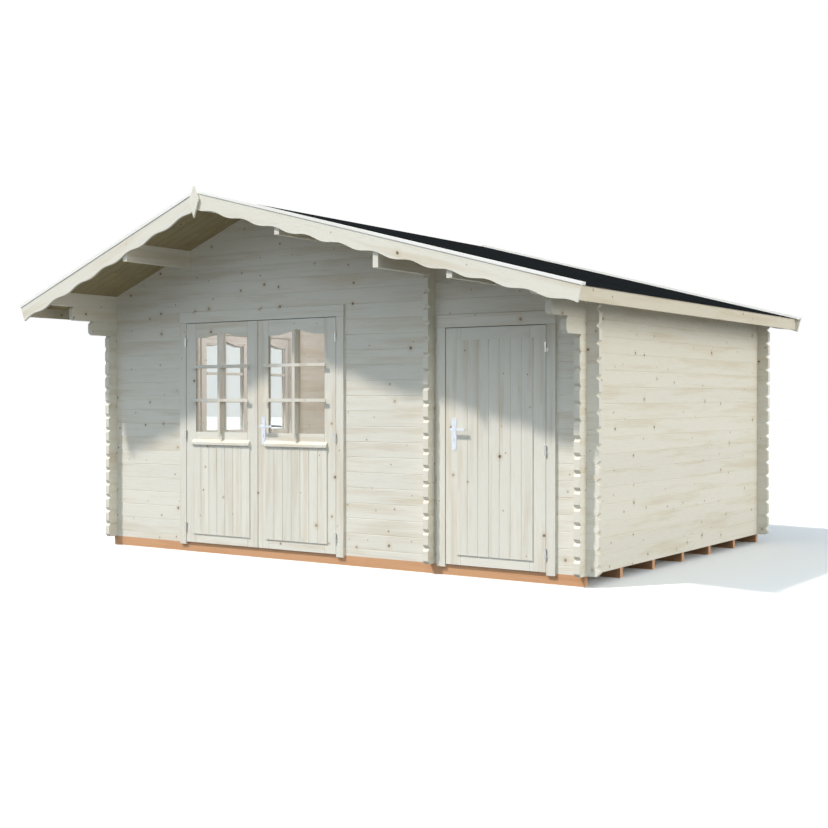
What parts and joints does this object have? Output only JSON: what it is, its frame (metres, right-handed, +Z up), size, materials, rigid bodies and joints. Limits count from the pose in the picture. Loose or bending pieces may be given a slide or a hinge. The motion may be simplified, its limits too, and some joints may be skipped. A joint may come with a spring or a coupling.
{
  "type": "log cabin with side store",
  "caption": "Garden cabin of interlocking logs with an arched glazed double door, a side window, a store with its own boarded door and an uneven gable roof.",
  "frame": {"origin": "on the ground, under the middle of the outline", "axes": "+X to the right seen from the door side, +Y towards the back wall, +Z up"},
  "size_m": [5.1914, 4.137, 2.8204],
  "materials": {
    "log_wood": "pale glazed spruce, satin, with small dark knots",
    "joinery_wood": "pale glazed spruce, satin",
    "bearer_wood": "pressure-treated softwood, matt",
    "floor_wood": "planed softwood, matt",
    "soffit_wood": "untreated roof boards, matt",
    "felt": "dark roofing felt, matt and gritty",
    "zinc": "zinc-plated, slightly bluish",
    "pane": "clear"
  },
  "bodies": {
    "cabin": {"bearers": "bearer_wood", "floor_boards": "floor_wood", "left_wall": "log_wood", "right_wall": "log_wood", "back_wall": "log_wood", "partition_wall": "log_wood", "front_wall_left": "log_wood", "front_wall_middle": "log_wood", "front_wall_right": "log_wood", "front_gable": "log_wood", "main_door_frame": "joinery_wood", "store_door_frame": "joinery_wood", "frame_hinges": "zinc", "window_frame": "joinery_wood", "window_sashes": "joinery_wood", "window_glass": "pane", "window_hinges": "zinc", "purlins": "log_wood", "roof_boards_left": "soffit_wood", "roof_boards_right": "soffit_wood", "roof_felt_left": "felt", "roof_felt_right": "felt", "front_barge_left": "joinery_wood", "front_barge_right": "joinery_wood", "rear_barge_left": "joinery_wood", "rear_barge_right": "joinery_wood", "barge_caps": "joinery_wood", "eave_fascias": "joinery_wood", "ridge_finial": "joinery_wood"},
    "left_leaf": {"left_leaf": "joinery_wood", "left_leaf_panel": "joinery_wood", "left_leaf_glass": "pane", "left_leaf_hinges": "zinc"},
    "right_leaf": {"right_leaf": "joinery_wood", "right_leaf_panel": "joinery_wood", "right_leaf_glass": "pane", "right_leaf_hinges": "zinc", "main_lock_plates": "zinc"},
    "main_lever": {"main_lever": "zinc"},
    "store_leaf": {"store_leaf": "joinery_wood", "store_leaf_panel": "joinery_wood", "store_leaf_hinges": "zinc", "store_lock_plates": "zinc"},
    "store_lever": {"store_lever": "zinc"}
  },
  "joints": [
    {"name": "left_leaf_hinge", "type": "hinge", "parent": "cabin", "child": "left_leaf", "pos_m": [-1.37306, -1.3695, 0.973], "axis": [0, 0, -1], "range_deg": [0, 110]},
    {"name": "right_leaf_hinge", "type": "hinge", "parent": "cabin", "child": "right_leaf", "pos_m": [0.17994, -1.3695, 0.973], "axis": [0, 0, 1], "range_deg": [0, 110]},
    {"name": "store_leaf_hinge", "type": "hinge", "parent": "cabin", "child": "store_leaf", "pos_m": [1.96994, -1.3695, 0.903], "axis": [0, 0, 1], "range_deg": [0, 110]},
    {"name": "main_lever_turn", "type": "hinge", "parent": "right_leaf", "child": "main_lever", "pos_m": [-0.53756, -1.3595, 1.032], "axis": [0, 1, 0], "range_deg": [0, 45], "stiffness_Nm_per_rad": 0.6, "springref_deg": -34.38},
    {"name": "store_lever_turn", "type": "hinge", "parent": "store_leaf", "child": "store_lever", "pos_m": [1.23744, -1.3595, 1.032], "axis": [0, 1, 0], "range_deg": [0, 45], "stiffness_Nm_per_rad": 0.6, "springref_deg": -34.38}
  ]
}
